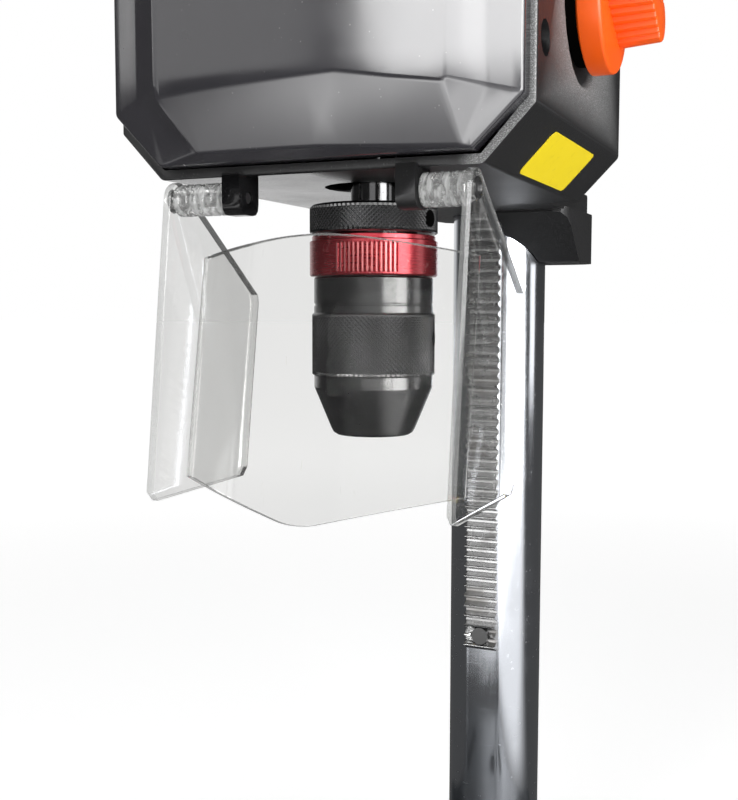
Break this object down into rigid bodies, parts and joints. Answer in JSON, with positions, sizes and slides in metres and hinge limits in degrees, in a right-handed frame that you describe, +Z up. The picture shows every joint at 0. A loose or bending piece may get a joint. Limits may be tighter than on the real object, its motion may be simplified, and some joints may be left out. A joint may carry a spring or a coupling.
{
  "type": "benchtop drill press",
  "caption": "Benchtop drill press: slotted base, round column with a rack, a geared head that rides on the column, a keyless chuck, a gear knob and a clear swing-up chuck guard",
  "frame": {"origin": "on the underside of the base, under the column's axis", "axes": "+Z up along the column, -Y to the front where the spindle stands, +X to the side of the feed wheel and gear knob"},
  "size_m": [0.3, 0.3336, 0.6703],
  "materials": {
    "base_casting": "hammered grey paint on a casting, milled top",
    "column_steel": "ground and polished tube",
    "rack_steel": "milled teeth, lightly oiled",
    "black_screw": "black oxide",
    "black_plastic": "fine texture",
    "casing_plastic": "fine moulded texture",
    "cover_plastic": "glossy dark grey",
    "sleeve_alloy": "black powder coat",
    "inner_steel": "machined",
    "inner_alloy": "die cast",
    "board": "lacquered board",
    "spoke_steel": "bright zinc plating",
    "ring_steel": "satin turned",
    "start_green": "moulded",
    "stop_red": "moulded",
    "orange_plastic": "satin moulded",
    "spindle_steel": "dark turned steel",
    "chuck_steel": "black oxide, knurled",
    "red_alloy": "red anodised",
    "jaw_steel": "ground",
    "armature": "windings and laminations",
    "clear_guard": "clear moulded plastic"
  },
  "bodies": {
    "base": {"base_plate": "base_casting", "column_set_screw_side": "black_screw", "column_set_screw_rear": "black_screw", "column_tube": "column_steel", "rack_bar": "rack_steel", "rack_screw_lower": "black_screw", "rack_screw_upper": "black_screw", "column_cap": "black_plastic"},
    "head": {"head_casing": "casing_plastic", "front_cover": "cover_plastic", "switch_plate": "black_plastic", "switch_block": "black_plastic", "column_sleeve": "sleeve_alloy", "feed_bush": "inner_steel", "clamp_bolt": "inner_steel", "gear_plate_lower": "inner_alloy", "gear_plate_upper": "inner_alloy", "spindle_bearing_lower": "inner_steel", "spindle_bearing_upper": "inner_steel", "counter_bearing_lower": "inner_steel", "counter_bearing_upper": "inner_steel", "fork_rod": "inner_steel", "motor_shield_lower": "inner_alloy", "motor_shield_upper": "inner_alloy", "motor_stator": "inner_steel", "control_board": "board", "cable_gland": "black_plastic", "guard_pin_left": "inner_steel", "guard_pin_right": "inner_steel"},
    "feed": {"pinion_shaft": "inner_steel", "feed_hub": "black_plastic", "feed_spoke_1": "spoke_steel", "feed_spoke_2": "spoke_steel", "feed_spoke_3": "spoke_steel", "feed_grip_1": "black_plastic", "feed_grip_2": "black_plastic", "feed_grip_3": "black_plastic"},
    "depth_ring": {"depth_ring": "ring_steel"},
    "clamp_lever": {"clamp_lever": "black_plastic"},
    "start_button": {"start_button": "start_green"},
    "stop_button": {"stop_button": "stop_red"},
    "selector": {"selector_knob": "orange_plastic", "selector_shaft": "inner_steel"},
    "shift_fork": {"shift_fork": "black_plastic"},
    "spindle": {"spindle": "spindle_steel", "spindle_gear": "inner_steel", "chuck_body": "chuck_steel", "chuck_top_ring": "chuck_steel"},
    "counter": {"countershaft": "inner_steel", "counter_gear": "inner_steel"},
    "motor": {"motor_armature": "armature", "motor_fan": "black_plastic"},
    "release_ring": {"release_ring": "red_alloy"},
    "chuck_sleeve": {"chuck_sleeve": "chuck_steel"},
    "chuck_jaw_1": {"chuck_jaw_1": "jaw_steel"},
    "chuck_jaw_2": {"chuck_jaw_2": "jaw_steel"},
    "chuck_jaw_3": {"chuck_jaw_3": "jaw_steel"},
    "guard": {"guard_side_left": "clear_guard", "guard_side_right": "clear_guard", "guard_sheet": "clear_guard"}
  },
  "joints": [
    {"name": "head_feed", "type": "slide", "parent": "base", "child": "head", "axis": [0, 0, -1], "range_m": [0, 0.19]},
    {"name": "feed_turn", "type": "hinge", "parent": "head", "child": "feed", "pos_m": [0, -0.03625, 0.55], "axis": [1, 0, 0], "range_deg": [0, 907.2]},
    {"name": "depth_ring_turn", "type": "hinge", "parent": "feed", "child": "depth_ring", "pos_m": [0.0823, -0.03625, 0.55], "axis": [1, 0, 0], "range_deg": [0, 340]},
    {"name": "clamp_turn", "type": "hinge", "parent": "head", "child": "clamp_lever", "pos_m": [-0.021, 0.043, 0.489], "axis": [1, 0, 0], "range_deg": [0, 60]},
    {"name": "start_press", "type": "slide", "parent": "head", "child": "start_button", "axis": [0, 1, 0], "range_m": [0, 0.0015], "stiffness_N_per_m": 400},
    {"name": "stop_press", "type": "slide", "parent": "head", "child": "stop_button", "axis": [0, 1, 0], "range_m": [0, 0.0015], "stiffness_N_per_m": 400},
    {"name": "gear_select", "type": "hinge", "parent": "head", "child": "selector", "pos_m": [0.07, -0.139, 0.4178], "axis": [1, 0, 0], "range_deg": [0, 90]},
    {"name": "fork_shift", "type": "slide", "parent": "head", "child": "shift_fork", "axis": [0, 0, 1], "range_m": [0, 0.0072]},
    {"name": "spindle_spin", "type": "hinge", "parent": "head", "child": "spindle", "pos_m": [0, -0.151, 0.36], "axis": [0, 0, 1], "continuous": true},
    {"name": "counter_spin", "type": "hinge", "parent": "head", "child": "counter", "pos_m": [0.02842, -0.12249, 0.42], "axis": [0, 0, 1], "continuous": true},
    {"name": "motor_spin", "type": "hinge", "parent": "head", "child": "motor", "pos_m": [0, -0.111, 0.5], "axis": [0, 0, 1], "continuous": true},
    {"name": "ring_lock", "type": "hinge", "parent": "spindle", "child": "release_ring", "pos_m": [0, -0.151, 0.336], "axis": [0, 0, 1], "range_deg": [0, 30]},
    {"name": "sleeve_turn", "type": "hinge", "parent": "spindle", "child": "chuck_sleeve", "pos_m": [0, -0.151, 0.3], "axis": [0, 0, 1], "range_deg": [0, 1080]},
    {"name": "jaw_1_slide", "type": "slide", "parent": "spindle", "child": "chuck_jaw_1", "axis": [0, 0.2419, -0.9703], "range_m": [0, 0.018]},
    {"name": "jaw_2_slide", "type": "slide", "parent": "spindle", "child": "chuck_jaw_2", "axis": [-0.2095, -0.121, -0.9703], "range_m": [0, 0.018]},
    {"name": "jaw_3_slide", "type": "slide", "parent": "spindle", "child": "chuck_jaw_3", "axis": [0.2095, -0.121, -0.9703], "range_m": [0, 0.018]},
    {"name": "guard_swing", "type": "hinge", "parent": "head", "child": "guard", "pos_m": [-0.0015, -0.193, 0.3534], "axis": [-1, 0, 0], "range_deg": [0, 80]}
  ],
  "couplings": [
    {"joint": "feed_turn", "follows": "head_feed", "rad_per_m": 83.333},
    {"joint": "fork_shift", "follows": "gear_select", "m_per_rad": 0.0045016},
    {"joint": "counter_spin", "follows": "spindle_spin", "ratio": -2.3333},
    {"joint": "motor_spin", "follows": "spindle_spin", "ratio": 5.7273},
    {"joint": "jaw_1_slide", "follows": "sleeve_turn", "m_per_rad": 0.00095493},
    {"joint": "jaw_2_slide", "follows": "sleeve_turn", "m_per_rad": 0.00095493},
    {"joint": "jaw_3_slide", "follows": "sleeve_turn", "m_per_rad": 0.00095493}
  ]
}
